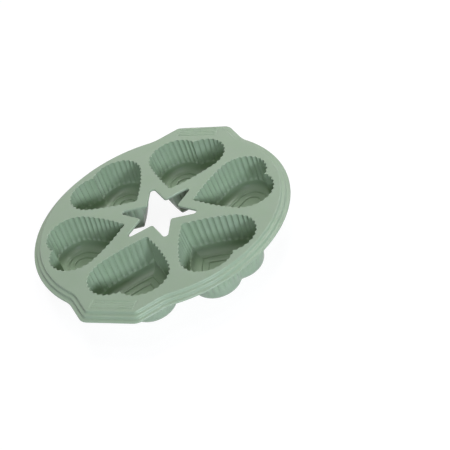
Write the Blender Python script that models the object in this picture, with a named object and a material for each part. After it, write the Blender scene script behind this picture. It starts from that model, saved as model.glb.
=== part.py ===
"""Silicone baking mould: six fluted heart cups round a star-shaped vent.

The mould stands on the floors of its cups. The origin is in the middle of that
base, +Z is up and the two grip tabs point along +X and -X. All sizes are in
metres. The product is one moulding; its regions are the objects built here.
"""

import math

import bmesh
import bpy

# Heights, measured down from the deck's top face unless the name says otherwise
MOULD_HEIGHT = 0.034
DECK_THICKNESS = 0.002
PART_GAP = 0.0003

# Outline of the tray: a circle with a trapezoid tab at each end
RIM_RADIUS = 0.102
TAB_PROJECTION = 0.010
TAB_EDGE_HALF_WIDTH = 0.0225
TAB_ROOT_HALF_WIDTH = 0.040
TAB_CORNER_RADIUS = 0.010
TAB_ROOT_RADIUS = 0.022

# Stepped rim: widths of the treads, counted in from the outer edge, and drops
RIM_BAND = 0.0071
RIM_WALL = 0.0016
RIM_STEP_DROP = 0.0022
RIM_OUTER_TREAD = 0.0028
RIM_INNER_TREAD = 0.0058
RIM_RISER_SLOPE = 0.0005
RIM_EDGE_ROUND = 0.0004

# Heart outline of a cup, along the crests of its flutes. "Out" is the distance
# from the tray's middle and "aside" the distance from the heart's own axis. The
# lobes are as large as the deck left beside them allows
CUP_COUNT = 6
HEART_TIP_OUT = 0.0275
LOBE_CENTRE_ASIDE = 0.0114
MOUTH_RIM_MARGIN = 0.00396
MOUTH_GAP = 0.00725
SIDE_RADIUS = 0.140
TIP_RADIUS = 0.0025

# Fluted wall
FLUTES_PER_HALF = 20
POINTS_PER_FLUTE = 3
FLUTE_DEPTH = 0.001
CUP_WALL = 0.0018
CUP_DRAFT = math.radians(4)
CUP_LEAN = 0.0012

# Floor of a cup: a fillet, a ring and two heart-shaped steps down
FLOOR_THICKNESS = 0.0028
FLOOR_STEP_DROP = 0.0012
FLOOR_STEP_COUNT = 2
FLOOR_FILLET = 0.0068
FLOOR_RING_INSET = 0.0090
FLOOR_TREAD = 0.0048
FLOOR_RISER_RUN = 0.0006
FLOOR_POINTS = 30
BASE_RING_THICKNESS = 0.0026
BASE_FOOT_MARGIN = 0.0035
BASE_RISER_RUN = 0.0010

# Star vent between the hearts
STAR_TIP_RADIUS = 0.0365
STAR_VALLEY_RADIUS = 0.0147
STAR_TIP_ROUND = 0.0022
STAR_VALLEY_ROUND = 0.0020

# Ribbed grip pads, each seated in a pocket of the deck
PAD_WIDTH = 0.0092
PAD_END_MARGIN = 0.0040
PAD_RIM_MARGIN = 0.0010
PAD_CORNER_RADIUS = 0.0012
PAD_POCKET_DEPTH = 0.0012
PAD_SINK = 0.0004
RIB_COUNT = 4
RIB_WIDTH = 0.0012
RIB_RISE = 0.0006
RIB_END_MARGIN = 0.0016

# Silicone of one colour all over
SILICONE_COLOUR = (0.345, 0.431, 0.342, 1.0)
SILICONE_ROUGHNESS = 0.45

TINY = 1e-9
DECK_TOP = MOULD_HEIGHT
TAB_REACH = RIM_RADIUS + TAB_PROJECTION
CUP_DEPTH = MOULD_HEIGHT - FLOOR_THICKNESS
BASE_FOOT_INSET = FLOOR_RING_INSET + BASE_FOOT_MARGIN
PAD_HALF_LENGTH = TAB_EDGE_HALF_WIDTH - PAD_END_MARGIN
CUP_RIM_DEPTH = DECK_THICKNESS + PART_GAP
WALL_POINTS = 2 * FLUTES_PER_HALF * POINTS_PER_FLUTE


def clear_scene():
    """Remove every object that the scene holds."""
    for old in list(bpy.data.objects):
        bpy.data.objects.remove(old, do_unlink=True)


def silicone(name):
    """Return a matte silicone material with the given name."""
    material = bpy.data.materials.new(name)
    material.use_nodes = True
    material.diffuse_color = SILICONE_COLOUR
    shader = material.node_tree.nodes["Principled BSDF"]
    shader.inputs["Base Color"].default_value = SILICONE_COLOUR
    shader.inputs["Roughness"].default_value = SILICONE_ROUGHNESS
    shader.inputs["Metallic"].default_value = 0.0
    return material


def add_object(name, bm):
    """Turn a finished bmesh into a named object with its own material."""
    bmesh.ops.recalc_face_normals(bm, faces=bm.faces)
    mesh = bpy.data.meshes.new(name)
    bm.to_mesh(mesh)
    bm.free()
    mesh.shade_smooth()
    mesh.set_sharp_from_angle(angle=math.radians(35))
    mesh.materials.append(silicone(name + "_silicone"))
    thing = bpy.data.objects.new(name, mesh)
    bpy.context.scene.collection.objects.link(thing)
    return thing


def on_arc(centre, radius, angle):
    """Return the point of a circle at an angle."""
    return (
        centre[0] + radius * math.cos(angle),
        centre[1] + radius * math.sin(angle),
    )


def lobe_circle():
    """Centre and radius of a lobe, on the +aside half of a heart.

    It keeps MOUTH_RIM_MARGIN to the rim's band and half of MOUTH_GAP to the line
    midway between two hearts.
    """
    half_sector = math.pi / CUP_COUNT
    reach = RIM_RADIUS - RIM_BAND - MOUTH_RIM_MARGIN
    tilted = LOBE_CENTRE_ASIDE * math.cos(half_sector)
    span = reach + tilted + MOUTH_GAP / 2
    root = math.sqrt(span ** 2 - tilted ** 2)
    out = (root - span * math.sin(half_sector)) / math.cos(half_sector) ** 2
    return (out, LOBE_CENTRE_ASIDE), reach - math.hypot(out, LOBE_CENTRE_ASIDE)


def side_centre():
    """Centre of the arc through the heart's tip that touches the lobe inside."""
    lobe, lobe_radius = lobe_circle()
    span_out = lobe[0] - HEART_TIP_OUT
    span = math.hypot(span_out, lobe[1])
    reach = SIDE_RADIUS - lobe_radius
    along = (SIDE_RADIUS ** 2 - reach ** 2 + span ** 2) / (2 * span)
    across = math.sqrt(SIDE_RADIUS ** 2 - along ** 2)
    unit = (span_out / span, lobe[1] / span)
    return (
        HEART_TIP_OUT + along * unit[0] + across * unit[1],
        along * unit[1] - across * unit[0],
    )


def heart_arcs(inset):
    """Arcs of half a heart, tip to notch, at a distance inside the outline.

    Each arc is (centre, radius, start angle, end angle). A negative inset gives
    the outline that much larger.
    """
    side = side_centre()
    lobe, full_radius = lobe_circle()
    notch = (lobe[0] + math.sqrt(full_radius ** 2 - lobe[1] ** 2), 0.0)
    side_radius = SIDE_RADIUS - inset
    lobe_radius = full_radius - inset
    tip_radius = TIP_RADIUS - inset
    arcs = []
    if tip_radius > 0:
        tip_reach = SIDE_RADIUS - TIP_RADIUS
        tip = (side[0] - math.sqrt(tip_reach ** 2 - side[1] ** 2), 0.0)
        side_start = math.atan2(tip[1] - side[1], tip[0] - side[0])
        arcs.append((tip, tip_radius, math.pi, side_start))
    else:
        side_start = math.pi - math.asin(-side[1] / side_radius)
    lobe_start = math.atan2(lobe[1] - side[1], lobe[0] - side[0])
    arcs.append((side, side_radius, side_start, lobe_start))
    if inset > 0:
        lobe_end = math.atan2(-lobe[1], notch[0] - lobe[0])
        arcs.append((lobe, lobe_radius, lobe_start, lobe_end))
        arcs.append((notch, inset, lobe_end + math.pi, math.pi))
    else:
        lobe_end = -math.asin(lobe[1] / lobe_radius)
        arcs.append((lobe, lobe_radius, lobe_start, lobe_end))
    return arcs


def heart_point(fraction, inset):
    """Point at a fraction of the way from tip to notch, on the +aside half."""
    arcs = heart_arcs(inset)
    left = fraction * sum(radius * abs(end - start) for _, radius, start, end in arcs)
    for centre, radius, start, end in arcs:
        length = radius * abs(end - start)
        if left <= length + TINY:
            break
        left -= length
    return on_arc(centre, radius, start + left / length * (end - start))


def flute_inset(fraction, depth):
    """How far a fluted wall stands inside its crests at a place on the outline.

    Flutes bulge out as round arches that meet in sharp cusps. The corner at the
    heart's tip has no cusp.
    """
    place = fraction * FLUTES_PER_HALF
    across = 2 * (place - math.floor(place + TINY)) - 1
    if place < 0.5:
        return 0.0
    return depth * across ** 2


def heart_loop(count, inset, flute_depth=0.0):
    """Points round a whole heart, starting at the tip."""
    loop = []
    for step in range(count):
        place = 2 * step / count
        fraction = min(place, 2 - place)
        out, aside = heart_point(fraction, inset + flute_inset(fraction, flute_depth))
        if place > 1:
            aside = -aside
        elif step in (0, count // 2):
            aside = 0.0
        loop.append((out, aside))
    return loop


def wall_inset(depth):
    """Inset of the cup's inner wall at a depth below the deck's top face."""
    return depth * math.tan(CUP_DRAFT)


def lean(depth):
    """How far a cup's outline has moved outward at a depth, as its tip tapers."""
    return CUP_LEAN * depth / CUP_DEPTH


def turned(point, angle):
    """Turn a point of the plan about the tray's middle."""
    cos, sin = math.cos(angle), math.sin(angle)
    return (
        point[0] * cos - point[1] * sin,
        point[0] * sin + point[1] * cos,
    )


def add_ring(bm, points, depth):
    """Add a ring of vertices at a depth below the deck's top face."""
    height = DECK_TOP - depth
    return [bm.verts.new((x, y, height)) for x, y in points]


def join_rings(bm, first, second):
    """Skin between two rings; one may have a multiple of the other's points."""
    if len(first) < len(second):
        first, second = second, first
    ratio = len(first) // len(second)
    middle = ratio // 2
    for index, corner in enumerate(second):
        following = second[(index + 1) % len(second)]
        base = index * ratio
        fine = [first[(base + k) % len(first)] for k in range(ratio + 1)]
        if ratio == 1:
            bm.faces.new((corner, following, fine[1], fine[0]))
            continue
        for k in range(middle):
            bm.faces.new((corner, fine[k + 1], fine[k]))
        bm.faces.new((corner, following, fine[middle]))
        for k in range(middle, ratio):
            bm.faces.new((following, fine[k + 1], fine[k]))


def cup_floor_rows():
    """Rows of the inner floor as (inset, depth), from the fillet to the panel."""
    ring_depth = CUP_DEPTH - FLOOR_STEP_COUNT * FLOOR_STEP_DROP
    fillet_top = ring_depth - FLOOR_FILLET
    start = wall_inset(fillet_top)
    rows = []
    for angle in (math.radians(45), math.radians(90)):
        rows.append((
            start + FLOOR_FILLET * (1 - math.cos(angle)),
            fillet_top + FLOOR_FILLET * math.sin(angle),
        ))
    inset, depth = FLOOR_RING_INSET, ring_depth
    for _ in range(FLOOR_STEP_COUNT):
        rows.append((inset, depth))
        depth += FLOOR_STEP_DROP
        rows.append((inset + FLOOR_RISER_RUN, depth))
        inset += FLOOR_TREAD
    return fillet_top, rows


def cup_base_rows(fillet_top, ring_depth):
    """Rows of the underside as (inset, depth), from the fillet to the foot."""
    centre = wall_inset(fillet_top) + FLOOR_FILLET
    across = FLOOR_FILLET + CUP_WALL
    down = BASE_RING_THICKNESS + ring_depth - fillet_top
    rows = []
    for angle in (math.radians(45), math.radians(90)):
        rows.append((
            centre - across * math.cos(angle),
            fillet_top + down * math.sin(angle),
        ))
    rows.append((BASE_FOOT_INSET - BASE_RISER_RUN, fillet_top + down))
    rows.append((BASE_FOOT_INSET, MOULD_HEIGHT))
    return rows


def build_cup(index):
    """One heart cup: a fluted shell with a stepped floor, under the deck."""
    fillet_top, floor_rows = cup_floor_rows()
    ring_depth = floor_rows[1][1]
    angle = index * 2 * math.pi / CUP_COUNT
    bm = bmesh.new()

    def ring(count, inset, depth, flute_depth=0.0):
        moved = [
            (out + lean(depth), aside)
            for out, aside in heart_loop(count, inset, flute_depth)
        ]
        return add_ring(bm, [turned(point, angle) for point in moved], depth)

    inner = [
        ring(WALL_POINTS, wall_inset(CUP_RIM_DEPTH), CUP_RIM_DEPTH, FLUTE_DEPTH),
        ring(WALL_POINTS, wall_inset(fillet_top), fillet_top, FLUTE_DEPTH),
    ]
    outer = [
        ring(WALL_POINTS, wall_inset(depth) - CUP_WALL, depth, FLUTE_DEPTH)
        for depth in (CUP_RIM_DEPTH, fillet_top)
    ]
    inner += [ring(FLOOR_POINTS, inset, depth) for inset, depth in floor_rows]
    outer += [
        ring(FLOOR_POINTS, inset, depth)
        for inset, depth in cup_base_rows(fillet_top, ring_depth)
    ]
    join_rings(bm, inner[0], outer[0])
    for rows in (inner, outer):
        for upper, lower in zip(rows, rows[1:]):
            join_rings(bm, upper, lower)
        bm.faces.new(rows[-1])
    return add_object("heart_cup_%d" % (index + 1), bm)


def rounded_polygon(corners, rounds, points_per_corner):
    """Plan outline through corners that are each rounded with an arc."""
    outline = []
    for index, corner in enumerate(corners):
        before = corners[index - 1]
        after = corners[(index + 1) % len(corners)]
        radius = rounds[index]
        into = math.atan2(corner[1] - before[1], corner[0] - before[0])
        out_of = math.atan2(after[1] - corner[1], after[0] - corner[0])
        turn = (out_of - into + math.pi) % (2 * math.pi) - math.pi
        side = math.copysign(math.pi / 2, turn)
        reach = radius * math.tan(abs(turn) / 2)
        start = on_arc(corner, -reach, into)
        centre = on_arc(start, radius, into + side)
        for step in range(points_per_corner):
            swept = turn * step / (points_per_corner - 1)
            outline.append(on_arc(centre, radius, into - side + swept))
    return outline


def star_outline():
    """Outline of the star vent: tips between the hearts, valleys at their tips."""
    corners, rounds = [], []
    for index in range(CUP_COUNT):
        valley = index * 2 * math.pi / CUP_COUNT
        tip = valley + math.pi / CUP_COUNT
        corners.append(on_arc((0.0, 0.0), STAR_VALLEY_RADIUS, valley))
        corners.append(on_arc((0.0, 0.0), STAR_TIP_RADIUS, tip))
        rounds += [STAR_VALLEY_ROUND, STAR_TIP_ROUND]
    return rounded_polygon(corners, rounds, 5)


def tray_quarter():
    """Stations of a quarter of the tray's outline, side to grip tab.

    Each station is (centre, radius, angle, bend): bend is 1 on an outward curve
    and -1 on the hollow curve at the root of the tab.
    """
    root_out = math.sqrt(RIM_RADIUS ** 2 - TAB_ROOT_HALF_WIDTH ** 2)
    side_run = TAB_REACH - root_out
    side_rise = TAB_ROOT_HALF_WIDTH - TAB_EDGE_HALF_WIDTH
    side_length = math.hypot(side_run, side_rise)
    normal = (side_rise / side_length, side_run / side_length)
    along = (-normal[1], normal[0])
    height = TAB_REACH * normal[0] + TAB_EDGE_HALF_WIDTH * normal[1]
    root_height = height + TAB_ROOT_RADIUS
    root_reach = math.sqrt((RIM_RADIUS + TAB_ROOT_RADIUS) ** 2 - root_height ** 2)
    root = (
        root_height * normal[0] - root_reach * along[0],
        root_height * normal[1] - root_reach * along[1],
    )
    root_angle = math.atan2(root[1], root[0])
    normal_angle = math.atan2(normal[1], normal[0])
    corner_out = TAB_REACH - TAB_CORNER_RADIUS
    corner_aside = (height - TAB_CORNER_RADIUS - corner_out * normal[0]) / normal[1]
    corner = (corner_out, corner_aside)
    stations = []
    side_steps, root_steps, corner_steps = 8, 2, 3
    for step in range(side_steps):
        angle = math.pi / 2 + (root_angle - math.pi / 2) * step / side_steps
        stations.append(((0.0, 0.0), RIM_RADIUS, angle, 1))
    for step in range(root_steps + 1):
        share = step / root_steps
        angle = root_angle + (normal_angle - root_angle) * share + math.pi
        stations.append((root, TAB_ROOT_RADIUS, angle, -1))
    for step in range(corner_steps + 1):
        angle = normal_angle * (1 - step / corner_steps)
        stations.append((corner, TAB_CORNER_RADIUS, angle, 1))
    return stations


def tray_loop(inset):
    """Points round the tray's outline at a distance inside its edge."""
    quarter = []
    for centre, radius, angle, bend in tray_quarter():
        quarter.append(on_arc(centre, radius - bend * inset, angle))
    loop = list(quarter)
    loop += [(x, -y) for x, y in reversed(quarter)][:-1]
    loop += [(-x, -y) for x, y in quarter]
    loop += [(-x, y) for x, y in reversed(quarter)][:-1]
    return loop


def build_rim():
    """The stepped flange that runs round the whole tray."""
    first_drop = RIM_STEP_DROP
    second_drop = 2 * RIM_STEP_DROP
    profile = [
        (RIM_BAND, 0.0),
        (RIM_INNER_TREAD + RIM_RISER_SLOPE, 0.0),
        (RIM_INNER_TREAD, first_drop),
        (RIM_OUTER_TREAD + RIM_RISER_SLOPE, first_drop),
        (RIM_OUTER_TREAD, second_drop),
        (RIM_EDGE_ROUND, second_drop),
        (0.0, second_drop + RIM_EDGE_ROUND),
        (0.0, second_drop + RIM_WALL),
        (RIM_OUTER_TREAD + RIM_WALL, second_drop + RIM_WALL),
        (RIM_OUTER_TREAD + RIM_WALL, first_drop + RIM_WALL),
        (RIM_BAND, first_drop + RIM_WALL),
    ]
    bm = bmesh.new()
    rows = [add_ring(bm, tray_loop(inset), depth) for inset, depth in profile]
    for row, following in zip(rows, rows[1:] + rows[:1]):
        join_rings(bm, row, following)
    return add_object("rim", bm)


def pad_outline(margin):
    """Outline of a grip pad on the +X tab, grown or shrunk by a margin."""
    far = TAB_REACH - RIM_BAND - PART_GAP - PAD_RIM_MARGIN + margin
    near = far - PAD_WIDTH - 2 * margin
    half = PAD_HALF_LENGTH + margin
    corners = [(near, -half), (far, -half), (far, half), (near, half)]
    return rounded_polygon(corners, [PAD_CORNER_RADIUS + margin] * 4, 3)


def fill_plan(bm, loops, depth):
    """Fill the region inside the first loop and outside the others."""
    edges = []
    for points in loops:
        ring = add_ring(bm, points, depth)
        for vert, following in zip(ring, ring[1:] + ring[:1]):
            edges.append(bm.edges.new((vert, following)))
    bmesh.ops.triangle_fill(bm, edges=edges, use_beauty=True, normal=(0, 0, 1))


def extrude_down(bm, distance):
    """Give every face of a flat sheet the same thickness, downwards."""
    result = bmesh.ops.extrude_face_region(bm, geom=bm.faces[:])
    lower = [item for item in result["geom"] if isinstance(item, bmesh.types.BMVert)]
    bmesh.ops.translate(bm, verts=lower, vec=(0, 0, -distance))
    return lower


def cut_pocket(deck, side):
    """Cut the pocket of one grip pad into the deck."""
    bm = bmesh.new()
    clearance = PART_GAP
    outline = [(side * x, side * y) for x, y in pad_outline(clearance)]
    fill_plan(bm, [outline], -PAD_POCKET_DEPTH)
    extrude_down(bm, 2 * PAD_POCKET_DEPTH)
    cutter = add_object("pocket_cutter", bm)
    cutter.hide_render = True
    cutter.display_type = "WIRE"
    cut = deck.modifiers.new("pocket", "BOOLEAN")
    cut.operation = "DIFFERENCE"
    cut.solver = "EXACT"
    cut.object = cutter


def build_deck():
    """The flat web between the cups, with fluted mouths and the star vent."""
    bm = bmesh.new()
    mouths = []
    for index in range(CUP_COUNT):
        angle = index * 2 * math.pi / CUP_COUNT
        loop = heart_loop(WALL_POINTS, 0.0, FLUTE_DEPTH)
        mouths.append([turned(point, angle) for point in loop])
    loops = [tray_loop(RIM_BAND + PART_GAP), star_outline()] + mouths
    fill_plan(bm, loops, 0.0)
    extrude_down(bm, DECK_THICKNESS)
    deck = add_object("deck", bm)
    for side in (1, -1):
        cut_pocket(deck, side)
    return deck


def build_grip_pad(name, side):
    """A ribbed pad for the fingers, sunk into the deck on one tab."""
    floor_depth = PAD_POCKET_DEPTH - PART_GAP
    base = [(side * x, side * y) for x, y in pad_outline(0.0)]
    bm = bmesh.new()
    fill_plan(bm, [base], PAD_SINK)
    extrude_down(bm, floor_depth - PAD_SINK)
    pad = add_object(name, bm)
    xs = [x for x, _ in base]
    pitch = PAD_WIDTH / RIB_COUNT
    half = PAD_HALF_LENGTH - RIB_END_MARGIN
    for index in range(RIB_COUNT):
        middle = min(xs) + (index + 0.5) * pitch
        add_rib(pad, middle, half)
    return pad


def add_rib(pad, middle, half):
    """Union one low rib, chamfered along both edges, onto a grip pad."""
    root = RIB_WIDTH / 2
    crest = RIB_WIDTH / 4
    bottom = PAD_SINK + (PAD_POCKET_DEPTH - PART_GAP - PAD_SINK) / 2
    top = PAD_SINK - RIB_RISE
    bm = bmesh.new()
    rows = []
    for aside in (-half, half):
        shape = ((-root, bottom), (root, bottom), (root, PAD_SINK), (crest, top),
                 (-crest, top), (-root, PAD_SINK))
        rows.append([
            bm.verts.new((middle + across, aside, DECK_TOP - depth))
            for across, depth in shape
        ])
    join_rings(bm, rows[0], rows[1])
    for row in rows:
        bm.faces.new(row)
    rib = add_object("rib_tool", bm)
    rib.hide_render = True
    rib.display_type = "WIRE"
    union = pad.modifiers.new("rib", "BOOLEAN")
    union.operation = "UNION"
    union.solver = "EXACT"
    union.object = rib


def build_mould():
    """Build every region of the mould."""
    clear_scene()
    build_deck()
    build_rim()
    build_grip_pad("grip_pad_right", 1)
    build_grip_pad("grip_pad_left", -1)
    for index in range(CUP_COUNT):
        build_cup(index)


build_mould()
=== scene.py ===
"""Looks of the heart silicone mould: one fine skin for each node of the frame.

Sizes are in millimetres in the frame's own axes. A depth is measured down from
the deck's top face, and an inset inward from an outline. The real mould is one
moulding, so the skins meet along lines that lie in flat stretches, where
nothing of them shows.
"""

import math

import bmesh
import bpy
from mathutils import Matrix, Quaternion, Vector


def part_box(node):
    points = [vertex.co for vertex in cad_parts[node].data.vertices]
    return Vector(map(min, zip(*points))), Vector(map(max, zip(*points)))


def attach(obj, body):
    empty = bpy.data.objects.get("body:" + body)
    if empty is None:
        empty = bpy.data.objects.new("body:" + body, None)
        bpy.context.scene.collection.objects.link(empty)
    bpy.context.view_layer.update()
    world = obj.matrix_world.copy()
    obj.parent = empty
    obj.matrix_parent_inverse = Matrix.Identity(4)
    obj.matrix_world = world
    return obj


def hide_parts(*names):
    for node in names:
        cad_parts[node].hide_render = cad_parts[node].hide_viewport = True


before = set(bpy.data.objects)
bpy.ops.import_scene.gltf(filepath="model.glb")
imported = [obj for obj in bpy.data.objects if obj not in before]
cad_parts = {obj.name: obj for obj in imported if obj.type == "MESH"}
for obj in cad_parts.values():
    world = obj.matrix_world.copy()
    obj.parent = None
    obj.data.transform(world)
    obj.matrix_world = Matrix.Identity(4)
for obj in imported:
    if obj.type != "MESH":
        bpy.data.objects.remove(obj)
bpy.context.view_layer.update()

MM = 0.001
TINY = 1e-9

# Sizes that the frame gives
DECK_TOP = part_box("deck")[1][2] / MM
DECK_THICKNESS = DECK_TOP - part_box("deck")[0][2] / MM
MOULD_HEIGHT = DECK_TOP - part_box("heart_cup_1")[0][2] / MM
TAB_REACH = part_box("rim")[1][0] / MM
RIM_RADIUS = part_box("rim")[1][1] / MM

# Outline of the tray: a circle with a trapezoid tab at each end
TAB_EDGE_HALF_WIDTH = 22.5
TAB_ROOT_HALF_WIDTH = 40.0
TAB_CORNER_RADIUS = 10.0
TAB_ROOT_RADIUS = 22.0
SIDE_STEPS = 44
ROOT_STEPS = 10
CORNER_STEPS = 12

# Stepped rim: insets from the outer edge, and drops below the deck
RIM_BAND = 7.1
RIM_SEAM = 7.6
RIM_INNER_TREAD = 5.8
RIM_OUTER_TREAD = 2.8
RIM_RISER_SLOPE = 0.5
RIM_STEP_DROP = 2.2
RIM_WALL = 1.6
RIM_STEP_ROUND = 0.75
RIM_EDGE_ROUND = 0.75
RIM_EDGE_STEPS = 5
RIM_UNDER_ROUND = 0.35
RIM_UNDER_STEPS = 3

# Heart outline of a cup, along the outmost lines of its flutes
CUP_COUNT = 6
HEART_TIP_OUT = 27.5
LOBE_CENTRE_ASIDE = 11.4
MOUTH_RIM_MARGIN = 3.96
MOUTH_GAP = 7.25
SIDE_RADIUS = 140.0
TIP_RADIUS = 2.5

# Fluted wall: a flute is a round channel that ends low down in a scoop
FLUTES_PER_HALF = 20
COLUMNS_PER_FLUTE = 10
FLUTE_DEPTH = 1.2
FLUTE_DEEPENING = 0.4
CUSP_SOFTNESS = 0.06
SCOOP_START = 19.6
SCOOP_RADIUS = 3.0
SCOOP_SOFTNESS = 0.08
SCOOP_ROW_STEP = 0.2
WALL_ROW_STEP = 4.0
CUP_WALL = 1.8
CUP_DRAFT = math.radians(4)
CUP_LEAN = 1.2

# Mouth of a cup, with the seam round it in the deck
CUP_SEAM = -3.0
MOUTH_ROUND = 0.4
MOUTH_STEPS = 5
MOUTH_BORDER = 0.3
UNDER_MOUTH_ROUND = 1.0
UNDER_MOUTH_STEPS = 4

# Floor of a cup: a fillet, a ring and two heart-shaped steps down
FLOOR_THICKNESS = 2.8
FLOOR_FILLET = 5.0
FILLET_STEPS = 10
FLOOR_RING_INSET = 9.0
FLOOR_TREAD = 4.8
FLOOR_STEP_DROP = 1.2
FLOOR_STEP_COUNT = 2
FLOOR_RISER_RUN = 0.6
FLOOR_EDGE_ROUND = 1.1
FLOOR_EDGE_STEPS = 6
FLOOR_CREASE_ROUND = 0.1
FLOOR_CREASE_STEPS = 3
PANEL_BORDER = 1.0

# Underside of a cup: a fillet, a ring and the foot that the mould stands on
BASE_RING_THICKNESS = 2.6
BASE_FILLET = 6.6
BASE_FOOT_MARGIN = 3.5
BASE_RISER_RUN = 1.0
FOOT_EDGE_ROUND = 0.5
FOOT_EDGE_STEPS = 3

# Star vent between the hearts
STAR_TIP_RADIUS = 36.5
STAR_VALLEY_RADIUS = 14.7
STAR_TIP_ROUND = 2.2
STAR_VALLEY_ROUND = 2.0
STAR_CORNER_STEPS = 9
STAR_EDGE_ROUND = 0.7
STAR_EDGE_STEPS = 4
STAR_BORDER = 0.5

# Grip pads: a shallow tray with low round ribs on each tab
PAD_WIDTH = 9.2
PAD_END_MARGIN = 4.0
PAD_RIM_MARGIN = 1.3
PAD_BORDER = 0.4
PAD_CORNER_RADIUS = 1.2
PAD_SINK = 0.2
PAD_EDGE_RUN = 0.9
PAD_POCKET_DEPTH = 1.2
PAD_CELLS_ACROSS = 80
PAD_CELLS_ALONG = 112
RIB_COUNT = 4
RIB_WIDTH = 1.4
RIB_RISE = 0.39
RIB_END_MARGIN = 1.6

# Sizes that follow from those above
CUP_DEPTH = MOULD_HEIGHT - FLOOR_THICKNESS
RING_DEPTH = CUP_DEPTH - FLOOR_STEP_COUNT * FLOOR_STEP_DROP
COLUMNS = 2 * FLUTES_PER_HALF * COLUMNS_PER_FLUTE
PAD_HALF_LENGTH = TAB_EDGE_HALF_WIDTH - PAD_END_MARGIN
PAD_FAR = TAB_REACH - RIM_BAND - PAD_RIM_MARGIN

# Edges that turn by more than this are shaded sharp
SHARP_ANGLE = math.radians(50)

# Silicone: its surface, the faint mottling of its colour and its fine bumps
SILICONE_COLOUR = (0.308, 0.412, 0.278, 1.0)
SILICONE_SURFACE = {
    "IOR": 1.41,
    "Roughness": 0.27,
    "Sheen Weight": 0.12,
    "Sheen Roughness": 0.5,
}
BRIGHTNESS_NOISE = {"Scale": 28.0, "Detail": 3.0}
BRIGHTNESS_RANGE = (0.97, 1.03)
SATURATION_NOISE = {"Scale": 90.0, "Detail": 2.0}
SATURATION_RANGE = (0.95, 1.05)
NOISE_RANGE = (0.3, 0.7)
WAVE_NOISE = {"Scale": 110.0, "Detail": 2.0}
WAVE_BUMP = {"Strength": 0.03, "Distance": 0.0003}
GRAIN_NOISE = {"Scale": 2600.0, "Detail": 2.0}
GRAIN_BUMP = {"Strength": 0.05, "Distance": 0.00005}

# Studio: the ground below the mould, in metres, and the light from all sides
GROUND_SIZE = 12.0
GROUND_DROP = 0.0002
GROUND_COLOUR = (0.8, 0.8, 0.8, 1.0)
GROUND_SEEN_COLOUR = (0.15, 0.15, 0.15, 1.0)
GROUND_SEEN_GLOW = 0.92
WORLD_COLOUR = (1.0, 1.0, 1.0, 1.0)
WORLD_LIGHT = 0.03
WORLD_SEEN_LIGHT = 1.0

# Softboxes: name, azimuth, elevation, distance, size, power and colour
COOL_WHITE = (0.93, 0.98, 1.15)
WARM_WHITE = (1.03, 1.0, 1.04)
SOFTBOXES = [
    ("key", -129.0, 20.0, 2.0, 0.35, 19.0, COOL_WHITE),
    ("front", -154.0, 25.0, 2.0, 0.4, 10.0, COOL_WHITE),
    ("top", -12.0, 58.0, 0.8, 0.36, 2.6, WARM_WHITE),
    ("high", 30.0, 77.0, 2.0, 0.35, 5.0, WARM_WHITE),
    ("glint", -145.0, 76.0, 2.0, 0.25, 3.6, WARM_WHITE),
    ("back", 30.0, 15.0, 2.0, 1.2, 2.0, WARM_WHITE),
]

# Camera at the photograph's angle, rolled because the mould leans over there
CAMERA_AIM = (-15.7, -59.8, 34.0)
CAMERA_DISTANCE = 887.2
CAMERA_HEADING = 29.55
CAMERA_ELEVATION = 37.65
CAMERA_ROLL = -19.68
CAMERA_LENS = 96.77
CAMERA_SENSOR = 36.0


def on_arc(centre, radius, angle):
    """Point of a circle at an angle."""
    return (
        centre[0] + radius * math.cos(angle),
        centre[1] + radius * math.sin(angle),
    )


def corner_arc(before, corner, after, radius):
    """Centre, start angle and turn of the arc that rounds a corner."""
    into = math.atan2(corner[1] - before[1], corner[0] - before[0])
    out_of = math.atan2(after[1] - corner[1], after[0] - corner[0])
    turn = (out_of - into + math.pi) % (2 * math.pi) - math.pi
    side = math.copysign(math.pi / 2, turn)
    start = on_arc(corner, -radius * math.tan(abs(turn) / 2), into)
    return on_arc(start, radius, into + side), into - side, turn


def rounded_path(corners):
    """Path through corners, some of them rounded.

    A corner is (x, y), or (x, y, radius, steps) where an arc rounds it.
    """
    path = []
    for index, (x, y, *rounding) in enumerate(corners):
        if not rounding:
            path.append((x, y))
            continue
        radius, steps = rounding
        before, after = corners[index - 1], corners[(index + 1) % len(corners)]
        centre, start, turn = corner_arc(before, (x, y), after, radius)
        for step in range(steps + 1):
            path.append(on_arc(centre, radius, start + turn * step / steps))
    return path


def with_wall_rows(path):
    """Add points where a section runs down, close together at the scoops."""
    scoop_end = SCOOP_START + SCOOP_RADIUS
    result = [path[0]]
    for start, end in zip(path, path[1:]):
        drop = end[1] - start[1]
        depths = [start[1]]
        while drop > SCOOP_ROW_STEP and depths[-1] + SCOOP_ROW_STEP < end[1]:
            in_scoop = SCOOP_START <= depths[-1] < scoop_end
            step = SCOOP_ROW_STEP if in_scoop else min(drop, WALL_ROW_STEP)
            depths.append(depths[-1] + step)
        for depth in depths[1:]:
            if depth < end[1] - SCOOP_ROW_STEP / 2:
                share = (depth - start[1]) / drop
                inset = start[0] + share * (end[0] - start[0])
                result.append((inset, depth))
        result.append(end)
    return result


def cup_angle(index):
    """Angle of a cup round the tray."""
    return index * 2 * math.pi / CUP_COUNT


def lobe_circle():
    """Centre and radius of a lobe, on the +aside half of a heart."""
    half_sector = math.pi / CUP_COUNT
    reach = RIM_RADIUS - RIM_BAND - MOUTH_RIM_MARGIN
    tilted = LOBE_CENTRE_ASIDE * math.cos(half_sector)
    span = reach + tilted + MOUTH_GAP / 2
    root = math.sqrt(span ** 2 - tilted ** 2)
    out = (root - span * math.sin(half_sector)) / math.cos(half_sector) ** 2
    centre = (out, LOBE_CENTRE_ASIDE)
    return centre, reach - math.hypot(*centre)


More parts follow.
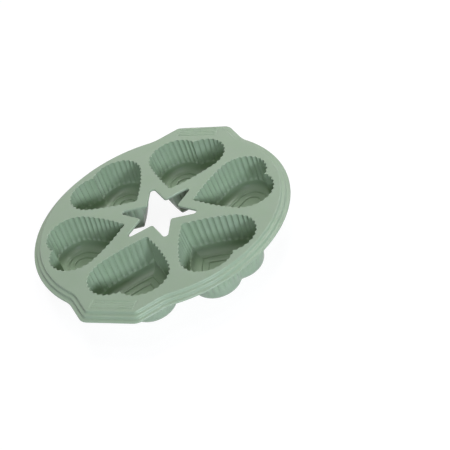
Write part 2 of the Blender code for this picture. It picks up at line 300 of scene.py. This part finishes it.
def side_centre():
    """Centre of the side's arc, which passes the tip and touches the lobe."""
    lobe, lobe_radius = lobe_circle()
    span_out = lobe[0] - HEART_TIP_OUT
    span = math.hypot(span_out, lobe[1])
    reach = SIDE_RADIUS - lobe_radius
    along = (SIDE_RADIUS ** 2 - reach ** 2 + span ** 2) / (2 * span)
    across = math.sqrt(SIDE_RADIUS ** 2 - along ** 2)
    unit = (span_out / span, lobe[1] / span)
    return (
        HEART_TIP_OUT + along * unit[0] + across * unit[1],
        along * unit[1] - across * unit[0],
    )


def heart_arcs(inset):
    """Arcs of half a heart, from tip to notch, at an inset from the outline.

    Each arc is (centre, radius, start angle, end angle). A negative inset
    gives a larger heart.
    """
    side = side_centre()
    lobe, full_radius = lobe_circle()
    notch = (lobe[0] + math.sqrt(full_radius ** 2 - lobe[1] ** 2), 0.0)
    side_radius = SIDE_RADIUS - inset
    lobe_radius = full_radius - inset
    tip_radius = TIP_RADIUS - inset
    arcs = []
    if tip_radius > 0:
        tip_reach = SIDE_RADIUS - TIP_RADIUS
        tip = (side[0] - math.sqrt(tip_reach ** 2 - side[1] ** 2), 0.0)
        side_start = math.atan2(tip[1] - side[1], tip[0] - side[0])
        arcs.append((tip, tip_radius, math.pi, side_start))
    else:
        side_start = math.pi - math.asin(-side[1] / side_radius)
    lobe_start = math.atan2(lobe[1] - side[1], lobe[0] - side[0])
    arcs.append((side, side_radius, side_start, lobe_start))
    if inset > 0:
        lobe_end = math.atan2(-lobe[1], notch[0] - lobe[0])
        arcs.append((lobe, lobe_radius, lobe_start, lobe_end))
        arcs.append((notch, inset, lobe_end + math.pi, math.pi))
    else:
        lobe_end = -math.asin(lobe[1] / lobe_radius)
        arcs.append((lobe, lobe_radius, lobe_start, lobe_end))
    return arcs


def heart_point(fraction, inset):
    """Point at a fraction of the way from tip to notch, on the +aside half."""
    arcs = heart_arcs(inset)
    whole = sum(radius * abs(end - start) for _, radius, start, end in arcs)
    left = fraction * whole
    for centre, radius, start, end in arcs:
        length = radius * abs(end - start)
        if left <= length + TINY:
            break
        left -= length
    return on_arc(centre, radius, start + left / length * (end - start))


def flute_lift(fraction):
    """Share of a flute's depth at a place: 1 in its middle, 0 at a cusp.

    No cusp stands at the tip, where the first flutes of both halves meet.
    """
    place = fraction * FLUTES_PER_HALF
    if place < 0.5:
        return 1.0
    across = abs(2 * (place - math.floor(place + TINY)) - 1)
    soft = math.hypot(1 - across, CUSP_SOFTNESS) - CUSP_SOFTNESS
    full = math.hypot(1, CUSP_SOFTNESS) - CUSP_SOFTNESS
    return 1 - (1 - soft / full) ** 2


def flute_depth(depth):
    """How far the cusps stand out of the flutes at a depth."""
    return FLUTE_DEPTH + FLUTE_DEEPENING * depth / RING_DEPTH


def groove(fraction, depth):
    """How deep the wall is cut at a place, with a flute's scoop at its end."""
    cut = flute_depth(depth) * flute_lift(fraction)
    past = max(0.0, depth - SCOOP_START) / SCOOP_RADIUS
    if past == 0:
        return cut
    cut -= SCOOP_RADIUS * (max(past, 1.0) - math.sqrt(max(0.0, 1 - past ** 2)))
    return (cut + math.hypot(cut, SCOOP_SOFTNESS * min(1.0, past))) / 2


def wall_inset(depth):
    """Inset of the cusps of the cup's inner wall at a depth."""
    return flute_depth(depth) + depth * math.tan(CUP_DRAFT)


def heart_row(inset, depth, plain=False):
    """Points round a whole heart, starting at the tip.

    A plain row has no flutes and doesn't follow the cup's lean outward.
    """
    lean = 0.0 if plain else CUP_LEAN * depth / CUP_DEPTH
    row = []
    for column in range(COLUMNS):
        turn = 2 * column / COLUMNS
        fraction = min(turn, 2 - turn)
        cut = 0.0 if plain else groove(fraction, depth)
        out, aside = heart_point(fraction, inset - cut)
        if turn > 1:
            aside = -aside
        elif column in (0, COLUMNS // 2):
            aside = 0.0
        row.append((out + lean, aside))
    return row


def add_row(bm, points, depth):
    """Add a row of vertices at a depth below the deck's top face."""
    height = (DECK_TOP - depth) * MM
    return [bm.verts.new((x * MM, y * MM, height)) for x, y in points]


def join_rows(bm, first, second):
    """Skin the band between two closed rows of as many vertices."""
    for index, vert in enumerate(first):
        after = (index + 1) % len(first)
        bm.faces.new((vert, first[after], second[after], second[index]))


def finish_mesh(bm, name):
    """Turn a bmesh into a smooth-shaded mesh whose faces point outward."""
    bmesh.ops.recalc_face_normals(bm, faces=bm.faces)
    mesh = bpy.data.meshes.new(name)
    bm.to_mesh(mesh)
    bm.free()
    mesh.shade_smooth()
    mesh.set_sharp_from_angle(angle=SHARP_ANGLE)
    return mesh


def add_piece(name, mesh, material, node):
    """Show a mesh in place of a node of the frame."""
    mesh.materials.append(material)
    piece = bpy.data.objects.new(name, mesh)
    bpy.context.scene.collection.objects.link(piece)
    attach(piece, "root")
    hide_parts(node)


def cup_inner_path():
    """Section of the inside of a cup, from the deck to the floor's middle."""
    mouth = wall_inset(0.0)
    wall_foot = wall_inset(RING_DEPTH)
    corners = [
        (CUP_SEAM, 0.0),
        (mouth - MOUTH_ROUND - MOUTH_BORDER, 0.0),
        (mouth, 0.0, MOUTH_ROUND, MOUTH_STEPS),
        (wall_foot, RING_DEPTH, FLOOR_FILLET, FILLET_STEPS),
    ]
    edge, depth = FLOOR_RING_INSET, RING_DEPTH
    for _ in range(FLOOR_STEP_COUNT):
        corners.append((edge, depth, FLOOR_EDGE_ROUND, FLOOR_EDGE_STEPS))
        depth += FLOOR_STEP_DROP
        crease = edge + FLOOR_RISER_RUN
        corners.append((crease, depth, FLOOR_CREASE_ROUND, FLOOR_CREASE_STEPS))
        edge += FLOOR_TREAD
    corners.append((crease + PANEL_BORDER, depth))
    return rounded_path(corners)


def cup_outer_path():
    """Section of the outside of a cup, from under the deck to the foot."""
    base_depth = RING_DEPTH + BASE_RING_THICKNESS
    neck = wall_inset(DECK_THICKNESS) - CUP_WALL
    wall_foot = wall_inset(base_depth) - CUP_WALL
    foot = FLOOR_RING_INSET + BASE_FOOT_MARGIN
    return rounded_path([
        (CUP_SEAM, DECK_THICKNESS),
        (neck, DECK_THICKNESS, UNDER_MOUTH_ROUND, UNDER_MOUTH_STEPS),
        (wall_foot, base_depth, BASE_FILLET, FILLET_STEPS),
        (foot - BASE_RISER_RUN, base_depth, FOOT_EDGE_ROUND, FOOT_EDGE_STEPS),
        (foot, MOULD_HEIGHT, FOOT_EDGE_ROUND, FOOT_EDGE_STEPS),
        (foot + PANEL_BORDER, MOULD_HEIGHT),
    ])


def cup_mesh():
    """The cup on the +X axis, closed along the seam in the deck."""
    bm = bmesh.new()
    seams = []
    for path in (cup_inner_path(), cup_outer_path()):
        rows = []
        for inset, depth in with_wall_rows(path):
            at_seam = not rows
            points = heart_row(inset, depth, plain=at_seam)
            rows.append(add_row(bm, points, depth))
        for upper, lower in zip(rows, rows[1:]):
            join_rows(bm, upper, lower)
        bm.faces.new(rows[-1])
        seams.append(rows[0])
    join_rows(bm, *seams)
    return finish_mesh(bm, "heart_cup")


def tray_quarter():
    """Stations of a quarter of the tray's outline, from +Y to +X.

    Each is (centre, radius, angle, bend), where the bend is -1 on an arc that
    curves the other way.
    """
    root_out = math.sqrt(RIM_RADIUS ** 2 - TAB_ROOT_HALF_WIDTH ** 2)
    side_run = TAB_REACH - root_out
    side_rise = TAB_ROOT_HALF_WIDTH - TAB_EDGE_HALF_WIDTH
    side_length = math.hypot(side_run, side_rise)
    normal = (side_rise / side_length, side_run / side_length)
    height = TAB_REACH * normal[0] + TAB_EDGE_HALF_WIDTH * normal[1]
    root_height = height + TAB_ROOT_RADIUS
    root_far = RIM_RADIUS + TAB_ROOT_RADIUS
    root_reach = math.sqrt(root_far ** 2 - root_height ** 2)
    root = (
        root_height * normal[0] + root_reach * normal[1],
        root_height * normal[1] - root_reach * normal[0],
    )
    root_angle = math.atan2(root[1], root[0])
    normal_angle = math.atan2(normal[1], normal[0])
    corner_out = TAB_REACH - TAB_CORNER_RADIUS
    corner_height = height - TAB_CORNER_RADIUS
    corner_aside = (corner_height - corner_out * normal[0]) / normal[1]
    corner = (corner_out, corner_aside)
    stations = []
    for step in range(SIDE_STEPS):
        angle = math.pi / 2 + (root_angle - math.pi / 2) * step / SIDE_STEPS
        stations.append(((0.0, 0.0), RIM_RADIUS, angle, 1))
    for step in range(ROOT_STEPS + 1):
        share = step / ROOT_STEPS
        angle = root_angle + (normal_angle - root_angle) * share + math.pi
        stations.append((root, TAB_ROOT_RADIUS, angle, -1))
    for step in range(CORNER_STEPS + 1):
        angle = normal_angle * (1 - step / CORNER_STEPS)
        stations.append((corner, TAB_CORNER_RADIUS, angle, 1))
    return stations


def tray_row(inset):
    """Points round the tray's outline at a distance inside its edge."""
    quarter = []
    for centre, radius, angle, bend in tray_quarter():
        quarter.append(on_arc(centre, radius - bend * inset, angle))
    row = list(quarter)
    row += [(x, -y) for x, y in reversed(quarter)][:-1]
    row += [(-x, -y) for x, y in quarter]
    row += [(-x, y) for x, y in reversed(quarter)][:-1]
    return row


def rim_mesh():
    """The stepped border, swept round the tray with its edges rounded."""
    first, second = RIM_STEP_DROP, 2 * RIM_STEP_DROP
    first_under, second_under = first + RIM_WALL, second + RIM_WALL
    inner_edge = RIM_INNER_TREAD + RIM_RISER_SLOPE
    outer_edge = RIM_OUTER_TREAD + RIM_RISER_SLOPE
    under_outer = RIM_OUTER_TREAD + RIM_WALL
    section = rounded_path([
        (RIM_SEAM, 0.0),
        (inner_edge, 0.0, RIM_STEP_ROUND, RIM_EDGE_STEPS),
        (RIM_INNER_TREAD, first, RIM_STEP_ROUND, RIM_EDGE_STEPS),
        (outer_edge, first, RIM_STEP_ROUND, RIM_EDGE_STEPS),
        (RIM_OUTER_TREAD, second, RIM_STEP_ROUND, RIM_EDGE_STEPS),
        (0.0, second, RIM_EDGE_ROUND, RIM_EDGE_STEPS),
        (0.0, second_under, RIM_EDGE_ROUND, RIM_EDGE_STEPS),
        (under_outer, second_under, RIM_UNDER_ROUND, RIM_UNDER_STEPS),
        (under_outer, first_under, RIM_UNDER_ROUND, RIM_UNDER_STEPS),
        (RIM_BAND, first_under, RIM_UNDER_ROUND, RIM_UNDER_STEPS),
        (RIM_BAND, DECK_THICKNESS, RIM_UNDER_ROUND, RIM_UNDER_STEPS),
        (RIM_SEAM, DECK_THICKNESS),
    ])
    bm = bmesh.new()
    rows = [add_row(bm, tray_row(inset), depth) for inset, depth in section]
    for row, following in zip(rows, rows[1:] + rows[:1]):
        join_rows(bm, row, following)
    return finish_mesh(bm, "rim")


def star_row(grown):
    """Outline of the star vent, grown by a distance into the deck."""
    corners = []
    for index in range(CUP_COUNT):
        valley = cup_angle(index)
        tip = valley + math.pi / CUP_COUNT
        corners.append(on_arc((0.0, 0.0), STAR_VALLEY_RADIUS, valley))
        corners.append(on_arc((0.0, 0.0), STAR_TIP_RADIUS, tip))
    row = []
    for index, corner in enumerate(corners):
        before, after = corners[index - 1], corners[(index + 1) % len(corners)]
        at_tip = index % 2 == 1
        radius = STAR_TIP_ROUND if at_tip else STAR_VALLEY_ROUND
        centre, start, turn = corner_arc(before, corner, after, radius)
        radius += grown if at_tip else -grown
        for step in range(STAR_CORNER_STEPS + 1):
            angle = start + turn * step / STAR_CORNER_STEPS
            row.append(on_arc(centre, radius, angle))
    return row


def pad_corners(side):
    """Corners of the border round a grip pad."""
    near = side * (PAD_FAR - PAD_WIDTH - PAD_BORDER)
    far = side * (PAD_FAR + PAD_BORDER)
    half = PAD_HALF_LENGTH + PAD_BORDER
    return [(near, -half), (far, -half), (far, half), (near, half)]


def turned(points, angle):
    """Turn points of the plan about the tray's middle."""
    cos, sin = math.cos(angle), math.sin(angle)
    return [(x * cos - y * sin, x * sin + y * cos) for x, y in points]


def fill_between(bm, loops):
    """Fill the flat region inside the first loop and outside the others."""
    edges = []
    for loop in loops:
        for ends in zip(loop, loop[1:] + loop[:1]):
            edges.append(bm.edges.get(ends) or bm.edges.new(ends))
    bmesh.ops.triangle_fill(bm, edges=edges, use_beauty=True, normal=(0, 0, 1))


def deck_mesh():
    """The flat web between the cups, with the rounded star vent."""
    bm = bmesh.new()
    seam = heart_row(CUP_SEAM, 0.0, plain=True)
    outlines = [tray_row(RIM_SEAM)]
    outlines += [turned(seam, cup_angle(index)) for index in range(CUP_COUNT)]
    top, bottom = [], []
    for points in outlines:
        top.append(add_row(bm, points, 0.0))
        bottom.append(add_row(bm, points, DECK_THICKNESS))
        join_rows(bm, top[-1], bottom[-1])
    border = STAR_EDGE_ROUND + STAR_BORDER
    section = rounded_path([
        (border, 0.0),
        (0.0, 0.0, STAR_EDGE_ROUND, STAR_EDGE_STEPS),
        (0.0, DECK_THICKNESS, STAR_EDGE_ROUND, STAR_EDGE_STEPS),
        (border, DECK_THICKNESS),
    ])
    star = [add_row(bm, star_row(grown), depth) for grown, depth in section]
    for row, following in zip(star, star[1:]):
        join_rows(bm, row, following)
    top.append(star[0])
    bottom.append(star[-1])
    for side in (1, -1):
        corners = pad_corners(side)
        top.append(add_row(bm, corners, 0.0))
        pocket_floor = add_row(bm, corners, PAD_POCKET_DEPTH)
        join_rows(bm, top[-1], pocket_floor)
        bm.faces.new(pocket_floor)
    fill_between(bm, top)
    fill_between(bm, bottom)
    return finish_mesh(bm, "deck")


def pad_height(across, along):
    """Height of a grip pad's surface at a place measured from its middle."""
    half_width = PAD_WIDTH / 2
    past_side = max(abs(across) - half_width + PAD_CORNER_RADIUS, 0.0)
    past_end = max(abs(along) - PAD_HALF_LENGTH + PAD_CORNER_RADIUS, 0.0)
    inside = PAD_CORNER_RADIUS - math.hypot(past_side, past_end)
    share = min(max(inside / PAD_EDGE_RUN, 0.0), 1.0)
    height = -PAD_SINK * share * share * (3 - 2 * share)
    pitch = PAD_WIDTH / RIB_COUNT
    rib = math.floor((across + half_width) / pitch)
    nearest = (rib + 0.5) * pitch - half_width
    rib_half = PAD_HALF_LENGTH - RIB_END_MARGIN - RIB_WIDTH / 2
    past_rib = max(abs(along) - rib_half, 0.0)
    away = math.hypot(across - nearest, past_rib) / (RIB_WIDTH / 2)
    if away < 1 and share == 1:
        height += RIB_RISE * math.cos(away * math.pi / 2) ** 2
    return height


def pad_mesh(side):
    """A grip pad: a closed block whose top is the ribbed tray."""
    middle = side * (PAD_FAR - PAD_WIDTH / 2)
    width = PAD_WIDTH + 2 * PAD_BORDER
    length = 2 * (PAD_HALF_LENGTH + PAD_BORDER)
    bm = bmesh.new()
    grid = []
    for i in range(PAD_CELLS_ACROSS + 1):
        across = (i / PAD_CELLS_ACROSS - 0.5) * width
        row = []
        for j in range(PAD_CELLS_ALONG + 1):
            along = (j / PAD_CELLS_ALONG - 0.5) * length
            height = DECK_TOP + pad_height(across, along)
            place = ((middle + across) * MM, along * MM, height * MM)
            row.append(bm.verts.new(place))
        grid.append(row)
    for row, following in zip(grid, grid[1:]):
        for j in range(PAD_CELLS_ALONG):
            bm.faces.new((row[j], following[j], following[j + 1], row[j + 1]))
    border = grid[0][:-1] + [row[-1] for row in grid[:-1]]
    border += grid[-1][:0:-1] + [row[0] for row in grid[:0:-1]]
    floor = DECK_TOP - PAD_POCKET_DEPTH
    lower = [bm.verts.new((v.co.x, v.co.y, floor * MM)) for v in border]
    join_rows(bm, border, lower)
    bm.faces.new(lower)
    return finish_mesh(bm, "grip_pad")


def set_inputs(node, values):
    """Set inputs of a shader node by name."""
    for name, value in values.items():
        node.inputs[name].default_value = value


def new_node(tree, kind, values):
    """Add a shader node and set some of its inputs."""
    node = tree.nodes.new(kind)
    set_inputs(node, values)
    return node


def silicone_material():
    """Matte silicone with faint mottling, a powdery sheen and a fine grain."""
    material = bpy.data.materials.new("sage_silicone")
    material.use_nodes = True
    tree = material.node_tree
    shader = tree.nodes["Principled BSDF"]
    set_inputs(shader, SILICONE_SURFACE)
    place = tree.nodes.new("ShaderNodeTexCoord")

    def noise(values):
        node = new_node(tree, "ShaderNodeTexNoise", values)
        tree.links.new(place.outputs["Object"], node.inputs["Vector"])
        return node.outputs["Fac"]

    def spread(source, low, high):
        node = new_node(tree, "ShaderNodeMapRange", {
            "From Min": NOISE_RANGE[0],
            "From Max": NOISE_RANGE[1],
            "To Min": low,
            "To Max": high,
        })
        tree.links.new(source, node.inputs["Value"])
        return node.outputs["Result"]

    colour = {"Color": SILICONE_COLOUR}
    tint = new_node(tree, "ShaderNodeHueSaturation", colour)
    brightness = spread(noise(BRIGHTNESS_NOISE), *BRIGHTNESS_RANGE)
    saturation = spread(noise(SATURATION_NOISE), *SATURATION_RANGE)
    tree.links.new(brightness, tint.inputs["Value"])
    tree.links.new(saturation, tint.inputs["Saturation"])
    tree.links.new(tint.outputs["Color"], shader.inputs["Base Color"])
    waves = new_node(tree, "ShaderNodeBump", WAVE_BUMP)
    tree.links.new(noise(WAVE_NOISE), waves.inputs["Height"])
    grain = new_node(tree, "ShaderNodeBump", GRAIN_BUMP)
    tree.links.new(noise(GRAIN_NOISE), grain.inputs["Height"])
    tree.links.new(waves.outputs["Normal"], grain.inputs["Normal"])
    tree.links.new(grain.outputs["Normal"], shader.inputs["Normal"])
    return material


def add_mould():
    """Put a skin over every node of the frame."""
    material = silicone_material()
    add_piece("deck_skin", deck_mesh(), material, "deck")
    add_piece("rim_skin", rim_mesh(), material, "rim")
    add_piece("grip_pad_right_skin", pad_mesh(1), material, "grip_pad_right")
    add_piece("grip_pad_left_skin", pad_mesh(-1), material, "grip_pad_left")
    cup = cup_mesh()
    for index in range(CUP_COUNT):
        mesh = cup.copy() if index else cup
        mesh.transform(Matrix.Rotation(cup_angle(index), 4, "Z"))
        mesh.materials.clear()
        node = "heart_cup_%d" % (index + 1)
        add_piece(node + "_skin", mesh, material, node)


def camera_rays(tree):
    """1 for what the camera sees, straight or by reflection, and 0 if not."""
    path = tree.nodes.new("ShaderNodeLightPath")
    seen = path.outputs["Is Camera Ray"]
    for name in ("Is Glossy Ray", "Is Transmission Ray"):
        larger = tree.nodes.new("ShaderNodeMath")
        larger.operation = "MAXIMUM"
        tree.links.new(seen, larger.inputs[0])
        tree.links.new(path.outputs[name], larger.inputs[1])
        seen = larger.outputs[0]
    return seen


def floor_material():
    """Pale floor that looks white to the camera and keeps soft shadows."""
    material = bpy.data.materials.new("pale_floor")
    material.use_nodes = True
    tree = material.node_tree
    tree.nodes.clear()
    diffuse = "ShaderNodeBsdfDiffuse"
    plain = new_node(tree, diffuse, {"Color": GROUND_COLOUR})
    dimmed = new_node(tree, diffuse, {"Color": GROUND_SEEN_COLOUR})
    glow = new_node(tree, "ShaderNodeEmission", {"Strength": GROUND_SEEN_GLOW})
    both = tree.nodes.new("ShaderNodeAddShader")
    tree.links.new(dimmed.outputs[0], both.inputs[0])
    tree.links.new(glow.outputs[0], both.inputs[1])
    pick = tree.nodes.new("ShaderNodeMixShader")
    tree.links.new(camera_rays(tree), pick.inputs["Fac"])
    tree.links.new(plain.outputs[0], pick.inputs[1])
    tree.links.new(both.outputs[0], pick.inputs[2])
    output = tree.nodes.new("ShaderNodeOutputMaterial")
    tree.links.new(pick.outputs[0], output.inputs["Surface"])
    return material


def add_floor():
    """The pale surface that the mould stands on."""
    below = (0.0, 0.0, -GROUND_DROP)
    bpy.ops.mesh.primitive_plane_add(size=GROUND_SIZE, location=below)
    floor = bpy.context.object
    floor.name = "floor"
    floor.data.materials.append(floor_material())


def direction(azimuth, elevation):
    """Unit vector at an azimuth and an elevation in degrees."""
    around, up = math.radians(azimuth), math.radians(elevation)
    return Vector((
        math.cos(around) * math.cos(up),
        math.sin(around) * math.cos(up),
        math.sin(up),
    ))


def add_softbox(name, azimuth, elevation, distance, size, power, colour):
    """A square lamp that points at the mould, in degrees, metres and watts."""
    away = direction(azimuth, elevation)
    lamp = bpy.data.lights.new(name, "AREA")
    lamp.shape = "SQUARE"
    lamp.size = size
    lamp.energy = power
    lamp.color = colour
    softbox = bpy.data.objects.new(name, lamp)
    softbox.location = away * distance
    softbox.rotation_mode = "QUATERNION"
    softbox.rotation_quaternion = away.to_track_quat("Z", "Y")
    bpy.context.scene.collection.objects.link(softbox)


def add_world():
    """Even light from all sides, which the camera sees as white."""
    world = bpy.data.worlds.new("studio")
    bpy.context.scene.world = world
    world.use_nodes = True
    tree = world.node_tree
    background = tree.nodes["Background"]
    set_inputs(background, {"Color": WORLD_COLOUR})
    level = new_node(tree, "ShaderNodeMapRange", {
        "To Min": WORLD_LIGHT,
        "To Max": WORLD_SEEN_LIGHT,
    })
    tree.links.new(camera_rays(tree), level.inputs["Value"])
    tree.links.new(level.outputs["Result"], background.inputs["Strength"])


def add_camera():
    """A camera that sees the mould as the photograph does."""
    forward = direction(CAMERA_HEADING, -CAMERA_ELEVATION)
    roll = Quaternion((0.0, 0.0, 1.0), math.radians(CAMERA_ROLL))
    data = bpy.data.cameras.new("camera")
    data.lens = CAMERA_LENS
    data.sensor_width = CAMERA_SENSOR
    camera = bpy.data.objects.new("camera", data)
    camera.location = (Vector(CAMERA_AIM) - forward * CAMERA_DISTANCE) * MM
    camera.rotation_mode = "QUATERNION"
    camera.rotation_quaternion = forward.to_track_quat("-Z", "Y") @ roll
    bpy.context.scene.collection.objects.link(camera)
    bpy.context.scene.camera = camera


add_camera()
add_world()
for softbox_values in SOFTBOXES:
    add_softbox(*softbox_values)
add_floor()
add_mould()
bpy.context.scene.view_settings.view_transform = "Standard"
